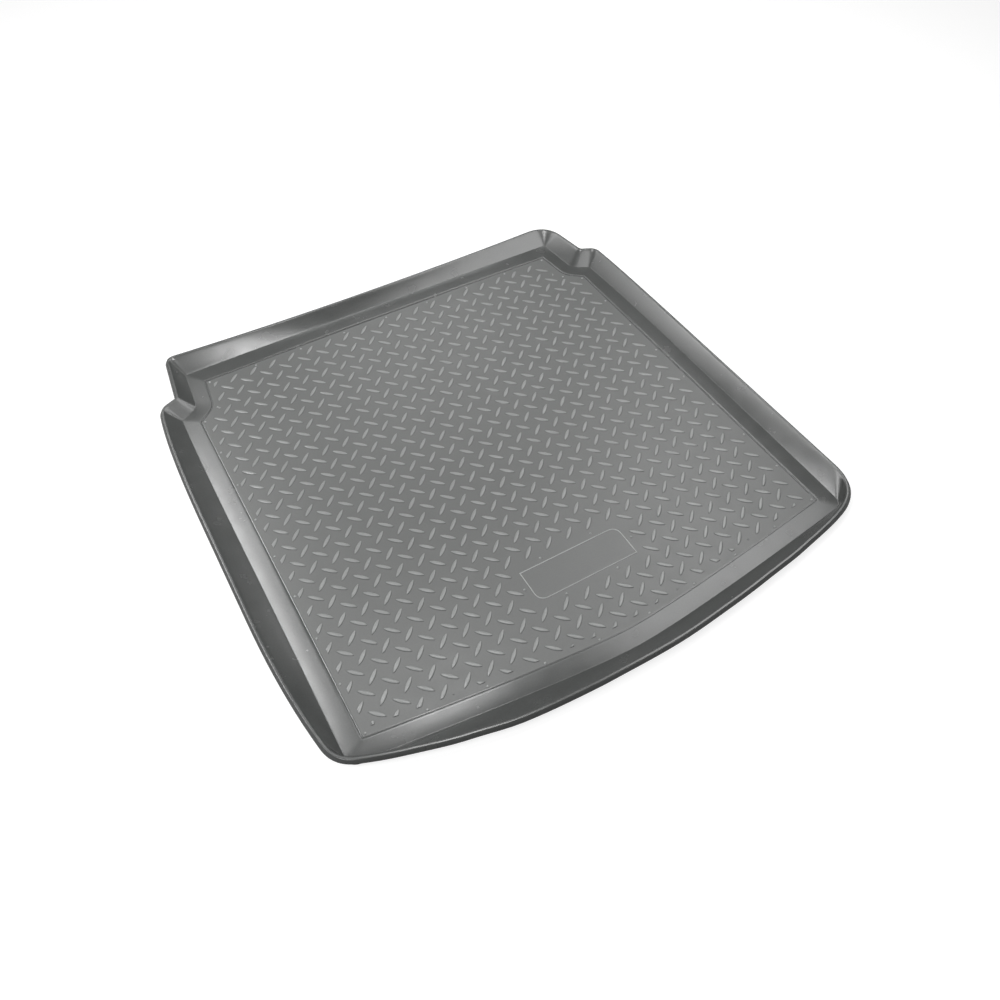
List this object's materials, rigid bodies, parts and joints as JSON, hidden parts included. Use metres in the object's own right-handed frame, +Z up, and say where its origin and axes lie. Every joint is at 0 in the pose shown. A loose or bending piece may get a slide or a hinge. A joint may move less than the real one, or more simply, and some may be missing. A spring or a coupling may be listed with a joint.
{
  "type": "car boot liner",
  "caption": "Shallow car boot liner: treaded floor with a plain border, and a low rim that leans out to a turned-down lip, notched for the wheel arches. Keeps loads and spills off the floor.",
  "frame": {"origin": "on the underside, midway between the floor's two sides and near the middle of its length", "axes": "+X across the boot to the right, +Y from the load edge towards the seats, +Z up"},
  "size_m": [1.0125, 1.0696, 0.023],
  "materials": {
    "polyurethane": "satin grey moulded polyurethane"
  },
  "bodies": {
    "root": {"liner": "polyurethane"}
  },
  "joints": []
}
